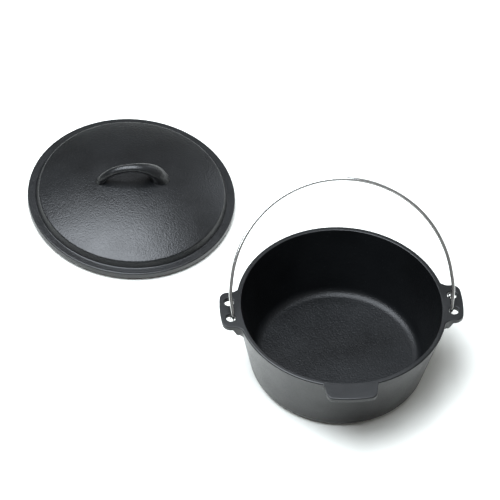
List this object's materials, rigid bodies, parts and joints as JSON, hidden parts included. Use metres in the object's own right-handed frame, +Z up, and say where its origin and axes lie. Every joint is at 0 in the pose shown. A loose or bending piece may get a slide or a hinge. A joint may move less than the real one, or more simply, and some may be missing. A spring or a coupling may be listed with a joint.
{
  "type": "dutch oven",
  "caption": "Cast iron dutch oven: tapered round pot with pierced side ears and a front grip tab, domed lid with a loop handle lying beside it, and a hinged wire bail.",
  "frame": {"origin": "centre of the pot's flat base, on the table", "axes": "+Z up; +X along the line of the two ears; -Y towards the front grip tab. The lid lies on the table behind and to the left of the pot."},
  "size_m": [0.525, 0.5625, 0.2278],
  "materials": {
    "pot_iron": "black seasoned cast iron, fine sand-cast grain, satin",
    "lid_iron": "black seasoned cast iron, fine sand-cast grain, satin",
    "bail_wire": "bright drawn steel wire"
  },
  "bodies": {
    "pot": {"pot": "pot_iron"},
    "lid": {"lid": "lid_iron"},
    "bail": {"bail": "bail_wire"}
  },
  "joints": [
    {"name": "bail_swing", "type": "hinge", "parent": "pot", "child": "bail", "pos_m": [0, 0, 0.1015], "axis": [1, 0, 0], "range_deg": [-55, 72]},
    {"name": "lid_lift", "type": "slide", "parent": "pot", "child": "lid", "axis": [0, 0, 1], "range_m": [0, 0.25]}
  ]
}
